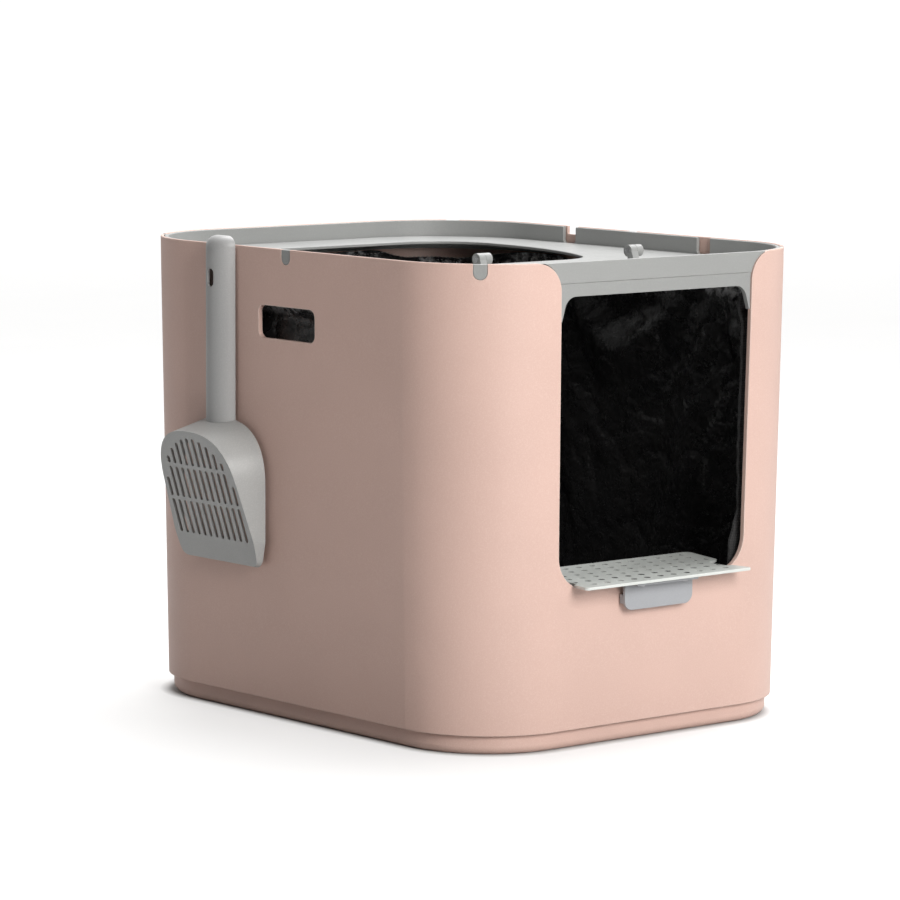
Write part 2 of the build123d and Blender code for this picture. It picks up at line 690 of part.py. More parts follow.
def liner_door(grow):
    """Cut-out of the liner behind the doorway, open at the top."""
    with BuildSketch() as cutout:
        with Locations((0, LINER_SILL_Z - grow)):
            Rectangle(2 * (LINER_DOOR_HALF + grow), HEIGHT, align=(Align.CENTER, Align.MIN))
        fillet(cutout.vertices().group_by(Axis.Y)[0], 8 + grow)
    return on(Plane.XZ, cutout.sketch)


with BuildPart() as liner_bag:
    add(drafted(LINER_TOP, LINER_INSET, liner_high))
    add(drafted(LINER_TOP, LINER_INSET + LINER_SKIN, liner_high - LINER_SKIN), mode=Mode.SUBTRACT)
    extrude(liner_door(0), amount=DEPTH, mode=Mode.SUBTRACT)
    for stud in stud_planes:
        with BuildSketch(stud) as liner_hole:
            with Locations((0, STUD_Z)):
                Circle(CLOTH_HOLE_R)
        extrude(amount=-25, mode=Mode.SUBTRACT)
liner_bag.part.label = "liner_bag"
export_step(liner_bag.part, "parts/liner_bag.step")

hem_inset = LINER_INSET + LINER_SKIN + 0.05
with BuildPart() as liner_top_hem:
    add(drafted(LINER_TOP, hem_inset, HEM_HIGH))
    add(drafted(LINER_TOP, hem_inset + HEM_THICK, HEM_HIGH), mode=Mode.SUBTRACT)
    extrude(liner_door(10.3), amount=DEPTH, mode=Mode.SUBTRACT)
    for stud in stud_planes:
        with BuildSketch(stud) as hem_hole:
            with Locations((0, STUD_Z)):
                Circle(CLOTH_HOLE_R)
        extrude(amount=-25, mode=Mode.SUBTRACT)
liner_top_hem.part.label = "liner_top_hem"
export_step(liner_top_hem.part, "parts/liner_top_hem.step")

with BuildPart() as liner_door_hem:
    add(drafted(LINER_TOP, hem_inset, LINER_TOP - LINER_SILL_Z + 15))
    add(drafted(LINER_TOP, hem_inset + HEM_THICK, LINER_TOP - LINER_SILL_Z + 15), mode=Mode.SUBTRACT)
    extrude(liner_door(10), amount=DEPTH, mode=Mode.INTERSECT)
    extrude(liner_door(0), amount=DEPTH, mode=Mode.SUBTRACT)
liner_door_hem.part.label = "liner_door_hem"
export_step(liner_door_hem.part, "parts/liner_door_hem.step")

hem_lean = (LINER_TOP - STUD_Z + 6) * tan(radians(DRAFT))
stud_reach = hem_inset + HEM_THICK + hem_lean - WALL - stud_draft + 0.05
stud_tip = stud_reach + 3.0
with BuildPart() as liner_studs:
    for stud in stud_planes:
        for radius, near, far in (
            (STUD_HOLE_R - 0.05, -2.4, 0.4), (5.0, 0.15, 1.6),
            (2.5, 1.6, stud_tip - 1.6), (3.0, stud_tip - 1.6, stud_tip),
        ):
            with BuildSketch(stud.offset(-near)) as stud_step:
                with Locations((0, STUD_Z)):
                    Circle(radius)
            extrude(amount=near - far)
liner_studs.part.label = "liner_studs"
export_step(liner_studs.part, "parts/liner_studs.step")

with BuildPart() as liner_eyelets:
    for stud in stud_planes:
        with BuildSketch(stud.offset(-stud_reach)) as eyelet:
            with Locations((0, STUD_Z)):
                Circle(6.0)
                Circle(3.6, mode=Mode.SUBTRACT)
        extrude(amount=-1.0)
liner_eyelets.part.label = "liner_eyelets"
export_step(liner_eyelets.part, "parts/liner_eyelets.step")
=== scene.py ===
"""Looks of the hooded cat litter box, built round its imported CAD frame.

The hard parts keep their CAD meshes and get moulded plastic, steel and rubber materials. The liner, its hems
and their stitches are made here as coated cloth, tape and thread. Metres, in the CAD's frame: +Z up, and the
doorway faces -Y.
"""

from math import cos, pi, radians, sin, tan

import bpy
import numpy as np
from mathutils import Matrix, Vector
from mathutils.bvhtree import BVHTree


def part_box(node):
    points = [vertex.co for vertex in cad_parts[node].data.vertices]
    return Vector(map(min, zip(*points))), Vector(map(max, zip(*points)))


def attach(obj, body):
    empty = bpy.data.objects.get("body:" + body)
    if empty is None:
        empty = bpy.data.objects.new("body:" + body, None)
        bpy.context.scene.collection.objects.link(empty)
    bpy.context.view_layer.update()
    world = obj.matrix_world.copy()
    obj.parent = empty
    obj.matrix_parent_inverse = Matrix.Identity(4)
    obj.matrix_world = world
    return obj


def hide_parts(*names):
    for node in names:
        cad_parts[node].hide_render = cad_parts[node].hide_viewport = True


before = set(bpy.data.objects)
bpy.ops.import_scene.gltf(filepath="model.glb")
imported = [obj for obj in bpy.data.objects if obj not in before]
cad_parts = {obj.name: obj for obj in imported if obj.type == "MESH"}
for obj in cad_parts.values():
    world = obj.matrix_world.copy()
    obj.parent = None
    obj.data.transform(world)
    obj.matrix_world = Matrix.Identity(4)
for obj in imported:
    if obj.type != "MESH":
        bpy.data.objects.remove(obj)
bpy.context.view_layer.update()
scene = bpy.context.scene

# Photograph's viewpoint
TARGET = Vector((0, 0, 0.216))
AZIMUTH, ELEVATION, ROLL = radians(-40.445), radians(7.09), radians(0.328)
DISTANCE = 3.9938
LENS = 170.545
SHIFT = (-0.01619, 0.02257)

# Liner: its outline, cut-out and hems
DRAFT = tan(radians(0.95))
FRONT_CORNER = 0.0865
BACK_CORNER = 0.0975
DOOR_HALF = 0.118
SILL_Z = 0.139
DOOR_HEM = 0.010
TOP_HEM = 0.018
CLOTH_THICK = 0.0005
HEM_THICK = 0.0022
TOP_TAPE_THICK = HEM_THICK * 0.7
DOOR_TAPE_THICK = HEM_THICK * 1.1

# Liner: its mesh, with the fold between wall and floor
GRID = 0.0095
RINGS = 15
FLOOR_RISE = 0.0008
FLOOR_FOLD = 0.006
FLOOR_RADIUS = 0.19
FLOOR_FOLD_SHARE = FLOOR_FOLD * 1.3 / FLOOR_RADIUS

# Liner: its simulation, and how far the cloth may move inwards, outwards and along itself
SLACK = 0.022
FRAMES = 26
CAP_IN, CAP_OUT, CAP_ALONG, CAP_FLOOR = 0.011, 0.004, 0.009, 0.006
HOLD_FLOOR, HOLD_WALL, HOLD_HEM, HOLD_DOOR, HOLD_EYELET = 0.35, 0.02, 0.12, 0.55, 1.0
EYELET_SIZE = 0.02
EYELET_GRIP = 0.016
DOOR_GRIP, DOOR_GRIP_MIDDLE = 0.014, 0.004
FRONT_BAND = 0.04
BASE_TOP = 0.045

# Liner: the doorway's folded edges, each a side and its distance inwards, and where the folds fade out
DOOR_FOLDS = ((1, 0.013), (-1, 0.005))
DOOR_FOLD_FORWARD = 0.003
DOOR_FOLD_TOP, DOOR_FOLD_BOTTOM, DOOR_FOLD_FADE = 0.200, 0.100, 0.040
DOOR_FOLD_WIDE = 0.05
DOOR_FOLD_BAND = 0.07

# Liner: heights between which the painted silver highlights on the film's creases set in
CREASE_HIGHLIGHT_FROM, CREASE_HIGHLIGHT_TO = 0.370, 0.392

# Stitches of the hems
STITCH_STEP = 0.006
TOP_STITCH = 0.0035
DOOR_STITCH = 0.0028

# Studio
FLOOR_REACH = 90.0
# corner radius of the painted contact shadow's outline round the base
CONTACT_CORNER = 0.09


# ------------------------------------------------------------------ materials
class Graph:
    """Shader nodes of one material or world, added by short calls that give their output sockets."""

    def __init__(self, owner):
        owner.use_nodes = True
        self.nodes, self.links = owner.node_tree.nodes, owner.node_tree.links
        self.nodes.clear()

    def fill(self, node, values):
        """Gives a node's inputs their values, sockets as links and the rest as settings; returns the node."""
        for key, value in values.items():
            if isinstance(value, bpy.types.NodeSocket):
                self.links.new(value, node.inputs[key])
            else:
                node.inputs[key].default_value = value
        return node

    def noise(self, vector, scale, detail=3.0, rough=0.55, stretch=None):
        """Noise with a number of features per metre; stretch scales each axis first."""
        if stretch:
            mapping = self.nodes.new("ShaderNodeMapping")
            vector = self.fill(mapping, {"Scale": stretch, "Vector": vector}).outputs["Vector"]
        node = self.nodes.new("ShaderNodeTexNoise")
        values = {"Scale": scale, "Detail": detail, "Roughness": rough, "Vector": vector}
        return self.fill(node, values).outputs["Fac"]

    def spread(self, value, low, high, to_low=0.0, to_high=1.0):
        """Maps a value from low..high to a new range, clamped."""
        node = self.nodes.new("ShaderNodeMapRange")
        values = {"From Min": low, "From Max": high, "To Min": to_low, "To Max": to_high, "Value": value}
        return self.fill(node, values).outputs["Result"]

    def maths(self, kind, a, b=0.0):
        """Maths node on sockets or numbers."""
        node = self.nodes.new("ShaderNodeMath")
        node.operation = kind
        return self.fill(node, {0: a, 1: b}).outputs["Value"]

    def vectors(self, kind, *operands, out="Vector"):
        """Vector maths node on sockets or vectors."""
        node = self.nodes.new("ShaderNodeVectorMath")
        node.operation = kind
        return self.fill(node, dict(enumerate(operands))).outputs[out]

    def blend(self, share, a, b):
        """Colour mix by a socket; a and b are sockets or colours."""
        node = self.nodes.new("ShaderNodeMix")
        node.data_type = "RGBA"
        first, second = ((*c, 1) if isinstance(c, tuple) else c for c in (a, b))
        return self.fill(node, {"Factor": share, 6: first, 7: second}).outputs[2]

    def edges(self, radius):
        """A value near 1 along sharp edges and 0 on flat faces, and the rounded normal."""
        bevel = self.nodes.new("ShaderNodeBevel")
        bevel.samples = 6
        rounded = self.fill(bevel, {"Radius": radius}).outputs["Normal"]
        plain = self.nodes.new("ShaderNodeNewGeometry").outputs["Normal"]
        return self.spread(self.vectors("DOT_PRODUCT", rounded, plain, out="Value"), 0.995, 0.9), rounded

    def creases(self, spot, scale, wander):
        """Distance to the nearest line of a net of wandering creases."""
        shift = self.noise(spot, scale * 1.3)
        node = self.nodes.new("ShaderNodeTexVoronoi")
        node.feature = "DISTANCE_TO_EDGE"
        moved = self.vectors("MULTIPLY_ADD", shift, (wander, wander, wander), spot)
        return self.fill(node, {"Scale": scale, "Vector": moved}).outputs["Distance"]

    def weave(self, cloth, threads):
        """Plain weave height from the cloth's own coordinates, with a number of threads per metre."""
        parts = self.fill(self.nodes.new("ShaderNodeSeparateXYZ"), {"Vector": cloth})
        u, v = (self.maths("SINE", self.maths("MULTIPLY", parts.outputs[k], threads * pi)) for k in "XY")
        return self.maths("ABSOLUTE", self.maths("MULTIPLY", u, v))

    def bumps(self, normal, layers):
        """Normal with layers of bump on it, each a height socket and its depth in metres."""
        for height, deep in layers:
            values = {"Strength": 1.0, "Distance": deep, "Height": height}
            if normal is not None:
                values["Normal"] = normal
            normal = self.fill(self.nodes.new("ShaderNodeBump"), values).outputs["Normal"]
        return normal


def new_material(name):
    """Material with a Principled shader; returns it with its graph, shader and texture coordinates."""
    material = bpy.data.materials.new(name)
    graph = Graph(material)
    out = graph.nodes.new("ShaderNodeOutputMaterial")
    shader = graph.nodes.new("ShaderNodeBsdfPrincipled")
    graph.links.new(shader.outputs["BSDF"], out.inputs["Surface"])
    where = graph.nodes.new("ShaderNodeTexCoord").outputs
    return material, graph, shader, where


def shade(colour, share):
    """Colour made darker or lighter by a factor."""
    return tuple(c * share for c in colour)


def plastic(name, colour, speck_and_edge_highlight, rough, edge=0.0006, scuffs=0.06, scratch=0.0, hole_shade_reach=0.0, shine=0.5):
    """Moulded plastic: fine grain, soft cloudiness, pale specks, scuffed gloss, a painted highlight that
    makes rounded edges paler, painted shade in its holes.
    """
    material, graph, shader, where = new_material(name)
    spot = where["Object"]
    cloud = graph.spread(graph.noise(spot, scale=9, detail=4), 0.35, 0.65)
    speck = graph.spread(graph.noise(spot, scale=900, detail=2), 0.45, 0.75)
    base = graph.blend(cloud, shade(colour, 0.955), colour)
    base = graph.blend(graph.maths("MULTIPLY", speck, 0.18), base, speck_and_edge_highlight)
    edges, rounded = graph.edges(edge)
    edge_highlight_share = graph.spread(graph.noise(spot, scale=60), 0.3, 0.7, 0.35, 0.9)
    # painted highlight: rounded edges turn patchily paler
    base = graph.blend(graph.maths("MULTIPLY", edges, edge_highlight_share), base, speck_and_edge_highlight)
    if hole_shade_reach:
        # painted shade: colour darkened where ambient occlusion finds holes and nearby walls
        hidden = graph.nodes.new("ShaderNodeAmbientOcclusion")
        hidden.samples = 8
        open_share = graph.fill(hidden, {"Distance": hole_shade_reach}).outputs["AO"]
        painted_hole_shade = graph.spread(open_share, 0.5, 0.95, 1.0, 0.0)
        base = graph.blend(painted_hole_shade, base, shade(colour, 0.10))
    rubbed = graph.noise(spot, scale=26, detail=5, rough=0.65)
    scuff = graph.spread(rubbed, 0.3, 0.7, rough - scuffs, rough + scuffs)
    fine = graph.spread(graph.noise(spot, scale=240), 0.3, 0.7, -0.03, 0.03)
    gloss = graph.maths("ADD", scuff, fine)
    if scratch:
        lines = graph.noise(spot, scale=30, detail=2, stretch=(1, 1, 40))
        gloss = graph.maths("ADD", gloss, graph.spread(lines, 0.62, 0.7, 0, scratch))
    grain, waviness = graph.noise(spot, scale=1400, detail=2), graph.noise(spot, scale=14, detail=2)
    normal = graph.bumps(rounded, [(grain, 0.00003), (waviness, 0.0004)])
    graph.fill(shader, {"Base Color": base, "Roughness": gloss, "Normal": normal})
    graph.fill(shader, {"IOR": 1.48, "Specular IOR Level": shine})
    return material


def metal(name, colour, rough):
    """Plated steel with fine turned lines and dull patches."""
    material, graph, shader, where = new_material(name)
    spot = where["Object"]
    patch = graph.spread(graph.noise(spot, scale=300, detail=4), 0.35, 0.7)
    base = graph.blend(patch, colour, shade(colour, 0.6))
    lines = graph.noise(spot, scale=900, detail=2, stretch=(1, 1, 8))
    gloss = graph.spread(lines, 0.3, 0.7, rough - 0.08, rough + 0.12)
    rounded = graph.edges(radius=0.0002)[1]
    normal = graph.bumps(rounded, [(lines, 0.00003)])
    graph.fill(shader, {"Base Color": base, "Roughness": gloss, "Metallic": 1.0, "Normal": normal})
    return material


def rubber(name):
    """Matt moulded rubber with dust."""
    material, graph, shader, where = new_material(name)
    spot = where["Object"]
    dust = graph.spread(graph.noise(spot, scale=120, detail=5, rough=0.7), 0.45, 0.75)
    base = graph.blend(dust, (0.022, 0.022, 0.023), (0.07, 0.068, 0.064))
    gloss = graph.spread(dust, 0, 1, 0.62, 0.85)
    rounded = graph.edges(radius=0.0003)[1]
    normal = graph.bumps(rounded, [(graph.noise(spot, scale=1600, detail=2), 0.00005)])
    graph.fill(shader, {"Base Color": base, "Roughness": gloss, "Normal": normal})
    return material


def coated_cloth(name):
    """Black woven cloth under a shiny film, with painted silver highlights on its creases near the top."""
    material, graph, shader, where = new_material(name)
    spot = where["Object"]
    height = graph.fill(graph.nodes.new("ShaderNodeSeparateXYZ"), {"Vector": spot}).outputs["Z"]
    fade = graph.spread(graph.noise(spot, scale=14, detail=5, rough=0.6), 0.35, 0.7)
    film = graph.blend(fade, (0.012, 0.012, 0.0125), (0.023, 0.022, 0.022))
    near_top = graph.spread(height, CREASE_HIGHLIGHT_FROM, CREASE_HIGHLIGHT_TO)
    patches = graph.spread(graph.noise(spot, scale=24, detail=5, rough=0.7), 0.46, 0.58)
    on_creases = graph.spread(graph.creases(spot, scale=75, wander=0.02), 0.02, 0.22, 1.0, 0.12)
    # painted highlight: silvery, partly metallic base colour on creases near the top
    painted_crease_highlight = graph.maths("MULTIPLY", near_top, graph.maths("MULTIPLY", patches, on_creases))
    base = graph.blend(painted_crease_highlight, film, (0.85, 0.85, 0.87))
    gloss = graph.spread(graph.noise(spot, scale=40, detail=5, rough=0.65), 0.3, 0.7, 0.19, 0.36)
    ridge = graph.spread(graph.creases(spot, scale=17, wander=0.05), 0.0, 0.16)
    crumple, fine = graph.noise(spot, scale=38, rough=0.6), graph.noise(spot, scale=120, rough=0.6)
    weave = graph.weave(where["UV"], threads=650)
    normal = graph.bumps(None, [(ridge, 0.0016), (crumple, 0.006), (fine, 0.0008), (weave, 0.00012)])
    graph.fill(shader, {"Base Color": base, "Roughness": gloss, "Normal": normal})
    graph.fill(shader, {"Metallic": graph.maths("MULTIPLY", painted_crease_highlight, 0.35), "Specular IOR Level": 0.55})
    graph.fill(shader, {"Coat Weight": 0.2, "Coat Roughness": 0.16})
    return material


def webbing(name, colour):
    """Woven tape: visible ribs with painted shade in their valleys, fuzzy sheen and slight fading."""
    material, graph, shader, where = new_material(name)
    spot = where["Object"]
    weave = graph.weave(where["UV"], threads=420)
    fade = graph.spread(graph.noise(spot, scale=70, detail=5, rough=0.6), 0.3, 0.7)
    base = graph.blend(fade, shade(colour, 0.65), shade(colour, 1.25))
    # painted shade: darker colour in the weave's valleys
    painted_valley_shade = graph.spread(weave, 0.0, 0.4, 1.0, 0.0)
    base = graph.blend(painted_valley_shade, base, shade(colour, 0.35))
    gloss = graph.spread(fade, 0, 1, 0.56, 0.72)
    normal = graph.bumps(None, [(weave, 0.0003), (graph.noise(spot, scale=900), 0.0001)])
    graph.fill(shader, {"Base Color": base, "Roughness": gloss, "Normal": normal})
    graph.fill(shader, {"Sheen Weight": 0.35, "Sheen Roughness": 0.45})
    return material


def thread(name, colour):
    """Twisted sewing thread."""
    material, graph, shader, where = new_material(name)
    twist = graph.noise(where["Object"], scale=2600, detail=2)
    base = graph.blend(twist, shade(colour, 0.6), colour)
    gloss = graph.spread(twist, 0.3, 0.7, 0.45, 0.7)
    normal = graph.bumps(None, [(twist, 0.0001)])
    graph.fill(shader, {"Base Color": base, "Roughness": gloss, "Sheen Weight": 0.3, "Normal": normal})
    return material


# Second colour of each plastic: pale random specks, and a painted highlight along its rounded edges
PINK = (0.665, 0.458, 0.395)
PINK_SPECK_AND_EDGE_HIGHLIGHT = (0.90, 0.76, 0.69)
GREY = (0.31, 0.315, 0.31)
GREY_SPECK_AND_EDGE_HIGHLIGHT = (0.48, 0.48, 0.47)
SCOOP_GREY = (0.40, 0.405, 0.40)
SCOOP_SPECK_AND_EDGE_HIGHLIGHT = (0.66, 0.66, 0.65)
# painted shade: the handle gets a darker copy of the scoop's greys
HANDLE_SHADED_GREY = (0.37, 0.37, 0.37)
HANDLE_SHADED_SPECK_AND_EDGE_HIGHLIGHT = (0.54, 0.54, 0.53)
LANDING_GREY = (0.67, 0.695, 0.67)
LANDING_SPECK_AND_EDGE_HIGHLIGHT = (0.70, 0.725, 0.70)
CLIP_GREY = (0.36, 0.37, 0.39)
CLIP_SPECK_AND_EDGE_HIGHLIGHT = (0.52, 0.54, 0.57)
ZINC = (0.62, 0.62, 0.64)
PIN_STEEL = (0.55, 0.55, 0.56)
NICKEL = (0.60, 0.59, 0.57)
BLACK_TAPE = (0.030, 0.029, 0.030)
GREY_THREAD = (0.34, 0.32, 0.31)

looks = {
    "housing_shell": plastic("moulded_pink", PINK, PINK_SPECK_AND_EDGE_HIGHLIGHT, rough=0.44, edge=0.0012, shine=0.38),
    "base_tray": plastic(
        "moulded_pink_base", PINK, PINK_SPECK_AND_EDGE_HIGHLIGHT, rough=0.46, scuffs=0.1, scratch=0.2, shine=0.38
    ),
    "top_frame": plastic("moulded_grey", GREY, GREY_SPECK_AND_EDGE_HIGHLIGHT, rough=0.40),
    "door_header": plastic("moulded_grey_header", shade(GREY, 0.97), GREY_SPECK_AND_EDGE_HIGHLIGHT, rough=0.42),
    "lid_panel": plastic("moulded_grey_lid", GREY, GREY_SPECK_AND_EDGE_HIGHLIGHT, rough=0.38, scratch=0.12),
    "scoop_bowl": plastic("moulded_scoop", SCOOP_GREY, SCOOP_SPECK_AND_EDGE_HIGHLIGHT, rough=0.36, scuffs=0.09, scratch=0.15),
    # the handle's darker grey is painted shade
    "scoop_handle": plastic("moulded_scoop_handle_shaded", HANDLE_SHADED_GREY, HANDLE_SHADED_SPECK_AND_EDGE_HIGHLIGHT, rough=0.40),
    "landing_plate": plastic(
        "moulded_landing", LANDING_GREY, LANDING_SPECK_AND_EDGE_HIGHLIGHT, rough=0.42, edge=0.0003, scratch=0.2, hole_shade_reach=0.012
    ),
    "landing_clip": plastic("moulded_clip", CLIP_GREY, CLIP_SPECK_AND_EDGE_HIGHLIGHT, rough=0.40),
    "liner_studs": plastic("moulded_stud", GREY, GREY_SPECK_AND_EDGE_HIGHLIGHT, rough=0.45),
    "anti_slip_pads": rubber("pad_rubber"),
    "lid_bumpers": rubber("bumper_rubber"),
    "base_screws": metal("zinc_steel", ZINC, rough=0.34),
    "header_screws": metal("zinc_steel_header", ZINC, rough=0.34),
    "landing_screws": metal("zinc_steel_landing", ZINC, rough=0.34),
    "hinge_pin_left": metal("pin_steel_left", PIN_STEEL, rough=0.3),
    "hinge_pin_right": metal("pin_steel_right", PIN_STEEL, rough=0.3),
    "liner_eyelets": metal("nickel", NICKEL, rough=0.24),
}
for node, material in looks.items():
    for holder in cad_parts[node].material_slots:
        holder.material = material


# ------------------------------------------------------------------ liner's outline and flat mesh
bag_low, bag_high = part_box("liner_bag")
half_x, half_y = bag_high.x, bag_high.y
top_z, floor_z = bag_high.z, bag_low.z + FLOOR_RISE
quarter = pi / 2
front_run, back_run = half_x - FRONT_CORNER, half_x - BACK_CORNER
side_run = 2 * half_y - FRONT_CORNER - BACK_CORNER
half_steps = (front_run, FRONT_CORNER * quarter, side_run, BACK_CORNER * quarter, back_run)
half_length = sum(half_steps)


def rim_point(run):
    """Point and outward normal of the liner's top outline, at a distance from the front's middle."""
    run = (run + half_length) % (2 * half_length) - half_length
    side, run = (1, run) if run >= 0 else (-1, -run)
    part = 0
    while part < 4 and run > half_steps[part]:
        run -= half_steps[part]
        part += 1
    if part == 0:
        point, normal = (run, -half_y), (0, -1)
    elif part == 1:
        angle = run / FRONT_CORNER - quarter
        normal = (cos(angle), sin(angle))
        point = (front_run + FRONT_CORNER * normal[0], FRONT_CORNER - half_y + FRONT_CORNER * normal[1])
    elif part == 2:
        point, normal = (half_x, FRONT_CORNER - half_y + run), (1, 0)
    elif part == 3:
        angle = run / BACK_CORNER
        normal = (cos(angle), sin(angle))
        point = (back_run + BACK_CORNER * normal[0], half_y - BACK_CORNER + BACK_CORNER * normal[1])
    else:
        point, normal = (back_run - run, half_y), (0, 1)
    return np.array((side * point[0], point[1])), np.array((side * normal[0], normal[1]))


def steps_between(marks):
    """Even steps of about a grid's pitch between marks, keeping every mark."""
    values = []
    for low, high in zip(marks, marks[1:]):
        count = max(1, round(abs(high - low) / GRID))
        values += [low + (high - low) * k / count for k in range(count)]
    return values + [marks[-1]]


door_marks = [-DOOR_HALF - DOOR_HEM, -DOOR_HALF, DOOR_HALF, DOOR_HALF + DOOR_HEM]
runs = steps_between([-half_length, *door_marks, half_length])[:-1]
levels = steps_between([top_z, top_z - TOP_HEM, SILL_Z, SILL_Z - DOOR_HEM, floor_z + FLOOR_FOLD])
columns = [rim_point(run) for run in runs]
wide, tall = len(runs), len(levels)


def wall_point(column, level):
    """Point of the liner's wall in a column at a height."""
    point, normal = columns[column]
    flat = point - normal * (CLOTH_THICK + (top_z - level) * DRAFT)
    return (*flat, level)


def bag_points():
    """Points of the hanging bag before it moves, their flat coordinates and their outward directions."""
    points, flat_spots, outwards = [], [], []
    for level in levels:
        for column, run in enumerate(runs):
            points.append(wall_point(column, level))
            flat_spots.append((run, level))
            outwards.append((*columns[column][1], 0))
    bottom = np.array([wall_point(column, levels[-1])[:2] for column in range(wide)])
    for ring in range(RINGS):
        share = 1 - (ring / RINGS if ring else FLOOR_FOLD_SHARE)
        for column in range(wide):
            flat = bottom[column] * share
            points.append((*flat, floor_z))
            flat_spots.append((runs[column] * share, -float(np.hypot(*(bottom[column] - flat)))))
            outwards.append((0, 0, -1))
    points.append((0, 0, floor_z))
    flat_spots.append((0, -FLOOR_RADIUS))
    outwards.append((0, 0, -1))
    return np.array(points), np.array(flat_spots), np.array(outwards, float)


BAG, TOP, DOOR = 0, 1, 2


def zone_at(row, column, after):
    """Zone of a wall face, or None where the doorway is cut out."""
    across = abs(runs[column] + (runs[after] - runs[column]) / 2) if after else half_length
    middle = (levels[row] + levels[row + 1]) / 2
    if across < DOOR_HALF and middle > SILL_Z:
        return None
    if across < DOOR_HALF + DOOR_HEM and middle > SILL_Z - DOOR_HEM:
        return DOOR
    return TOP if middle > top_z - TOP_HEM else BAG


def bag_faces(middle_point):
    """Faces of the bag and the zone that each is in."""
    faces, zones = [], []
    for row in range(tall + RINGS - 1):
        for column in range(wide):
            after = (column + 1) % wide
            zone = zone_at(row, column, after) if row < tall - 1 else BAG
            if zone is not None:
                upper, lower = row * wide, (row + 1) * wide
                faces.append((upper + after, lower + after, lower + column, upper + column))
                zones.append(zone)
    last = (tall + RINGS - 1) * wide
    for column in range(wide):
        faces.append((middle_point, column + last, (column + 1) % wide + last))
        zones.append(BAG)
    return faces, zones


def mesh_object(name, verts, polys, material, uv=None, smooth=True):
    """Mesh object from arrays, with per-vertex cloth coordinates as its UV map."""
    mesh = bpy.data.meshes.new(name)
    mesh.from_pydata([tuple(map(float, v)) for v in verts], [], polys)
    if uv is not None:
        layer = mesh.uv_layers.new(name="cloth")
        for loop in mesh.loops:
            layer.data[loop.index].uv = uv[loop.vertex_index]
    mesh.validate()
    mesh.polygons.foreach_set("use_smooth", [smooth] * len(mesh.polygons))
    mesh.materials.append(material)
    piece = bpy.data.objects.new(name, mesh)
    scene.collection.objects.link(piece)
    return piece


def renumbered(faces):
    """Vertices that some faces use, and the faces with those vertices counted from 0."""
    kept = np.unique([v for face in faces for v in face])
    number = {int(v): k for k, v in enumerate(kept)}
    return kept, [tuple(number[v] for v in face) for face in faces]


def coordinates(mesh):
    """Vertex coordinates of a mesh as an array."""
    flat = np.empty(len(mesh.vertices) * 3)
    mesh.vertices.foreach_get("co", flat)
    return flat.reshape(-1, 3)


def settled(piece):
    """Replaces a piece's mesh by what its modifiers make of it."""
    bpy.context.view_layer.update()
    depsgraph = bpy.context.evaluated_depsgraph_get()
    made = bpy.data.meshes.new_from_object(piece.evaluated_get(depsgraph))
    piece.modifiers.clear()
    piece.data = made
    return piece


def distance_to(spots, targets):
    """Distance from each spot to the nearest target."""
    return np.min(np.linalg.norm(spots[:, None] - targets[None], axis=2), axis=1)


def ramp(values, start, length):
    """0 up to a start, rising evenly to 1 over a length; a negative length falls the other way."""
    return np.clip((values - start) / length, 0, 1)


rest, cloth_uv, out = bag_points()
faces, zones = bag_faces(len(rest) - 1)
used, faces = renumbered(faces)
rest, cloth_uv, out = rest[used], cloth_uv[used], out[used]
liner = mesh_object("liner_cloth", rest, faces, coated_cloth("coated_cloth"), cloth_uv)
for face, zone in zip(liner.data.polygons, zones):
    face.material_index = zone


# ------------------------------------------------------------------ liner's hang and folds
def eyelet_middles():
    """Middle of each eyelet, from the points of their shared CAD mesh."""
    points = coordinates(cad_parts["liner_eyelets"].data)
    middles = []
    for spot in points:
        if not any(np.linalg.norm(spot - other) < EYELET_SIZE for other in middles):
            glow_with_painted_contact_shadow = points[np.linalg.norm(points - spot, axis=1) < EYELET_SIZE]
            middles.append((glow_with_painted_contact_shadow.min(0) + glow_with_painted_contact_shadow.max(0)) / 2)
    return np.array(middles)


held = eyelet_middles()
far_from_held = distance_to(rest, held)
from_door = np.abs(np.abs(rest[:, 0]) - DOOR_HALF - DOOR_GRIP_MIDDLE)
beside_door = (from_door < DOOR_GRIP) & (rest[:, 1] < -half_y + FRONT_BAND)
on_wall = out[:, 2] == 0


def waves(spots, size, seed, octaves=3):
    """Smooth random field over points, from about -1 to 1, with features of a size."""
    draw = np.random.default_rng(seed)
    field, weight = np.zeros(len(spots)), 0.0
    for octave in range(octaves):
        reach = size / 2**octave
        for _ in range(7):
            way = draw.normal(size=3)
            way /= np.linalg.norm(way)
            angle = spots @ way * (2 * pi / reach) * draw.uniform(0.7, 1.3)
            field += np.sin(angle + draw.uniform(0, 2 * pi)) / 1.7**octave
        weight += 7 / 1.7**octave
    return field / weight * 2.2


